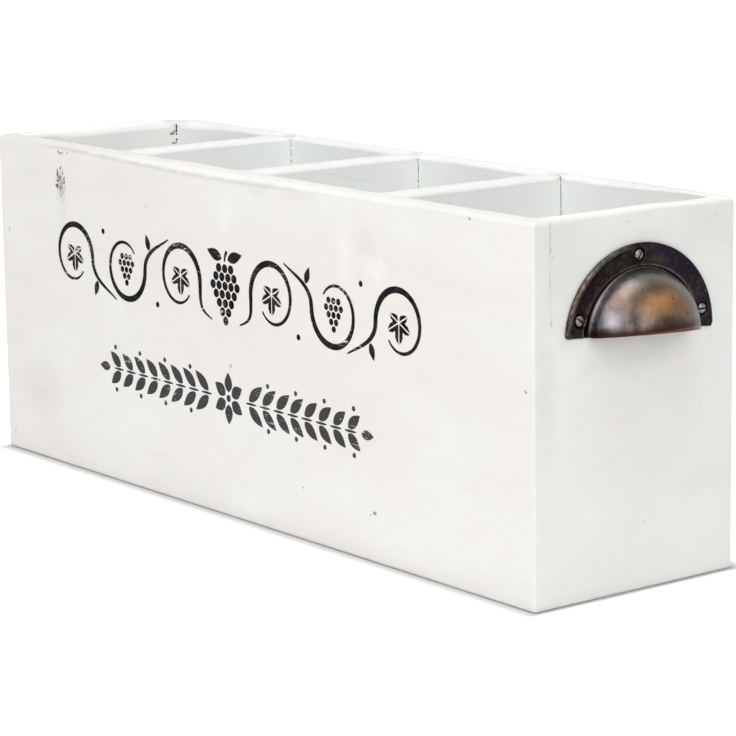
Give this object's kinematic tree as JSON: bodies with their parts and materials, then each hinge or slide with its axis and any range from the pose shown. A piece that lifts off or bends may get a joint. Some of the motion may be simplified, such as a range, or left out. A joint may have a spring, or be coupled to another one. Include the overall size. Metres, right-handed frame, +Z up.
{
  "type": "divided wine bottle box",
  "caption": "Long open-topped wooden box, divided into bottle cells, with a half-moon cup pull on each end. Stands on its flat bottom.",
  "frame": {"origin": "middle of the flat underside", "axes": "+X along the length, -Y is the front face, +Z up"},
  "size_m": [0.5652, 0.138, 0.2],
  "materials": {
    "painted_wood": "brushed matt white paint over pine boards, lightly worn",
    "aged_bronze": "cast, dark antique bronze patina rubbed to copper on the hood",
    "screw_steel": "dull zinc-plated slotted screw",
    "pin_steel": "plain wire"
  },
  "bodies": {
    "root": {"back_board": "painted_wood", "bottom_board": "painted_wood", "divider_left": "painted_wood", "divider_middle": "painted_wood", "divider_right": "painted_wood", "front_board": "painted_wood", "left_cup_pull": "aged_bronze", "left_end_board": "painted_wood", "left_pull_screw_back": "screw_steel", "left_pull_screw_front": "screw_steel", "left_pull_screw_top": "screw_steel", "pin_back_bottom_1": "pin_steel", "pin_back_bottom_2": "pin_steel", "pin_back_bottom_3": "pin_steel", "pin_back_bottom_4": "pin_steel", "pin_back_divider_1_1": "pin_steel", "pin_back_divider_1_2": "pin_steel", "pin_back_divider_2_1": "pin_steel", "pin_back_divider_2_2": "pin_steel", "pin_back_divider_3_1": "pin_steel", "pin_back_divider_3_2": "pin_steel", "pin_back_left_end_1": "pin_steel", "pin_back_left_end_2": "pin_steel", "pin_back_left_end_3": "pin_steel", "pin_back_right_end_1": "pin_steel", "pin_back_right_end_2": "pin_steel", "pin_back_right_end_3": "pin_steel", "pin_front_bottom_1": "pin_steel", "pin_front_bottom_2": "pin_steel", "pin_front_bottom_3": "pin_steel", "pin_front_bottom_4": "pin_steel", "pin_front_divider_1_1": "pin_steel", "pin_front_divider_1_2": "pin_steel", "pin_front_divider_2_1": "pin_steel", "pin_front_divider_2_2": "pin_steel", "pin_front_divider_3_1": "pin_steel", "pin_front_divider_3_2": "pin_steel", "pin_front_left_end_1": "pin_steel", "pin_front_left_end_2": "pin_steel", "pin_front_left_end_3": "pin_steel", "pin_front_right_end_1": "pin_steel", "pin_front_right_end_2": "pin_steel", "pin_front_right_end_3": "pin_steel", "pin_left_end_bottom_1": "pin_steel", "pin_left_end_bottom_2": "pin_steel", "pin_right_end_bottom_1": "pin_steel", "pin_right_end_bottom_2": "pin_steel", "right_cup_pull": "aged_bronze", "right_end_board": "painted_wood", "right_pull_screw_back": "screw_steel", "right_pull_screw_front": "screw_steel", "right_pull_screw_top": "screw_steel"}
  },
  "joints": []
}
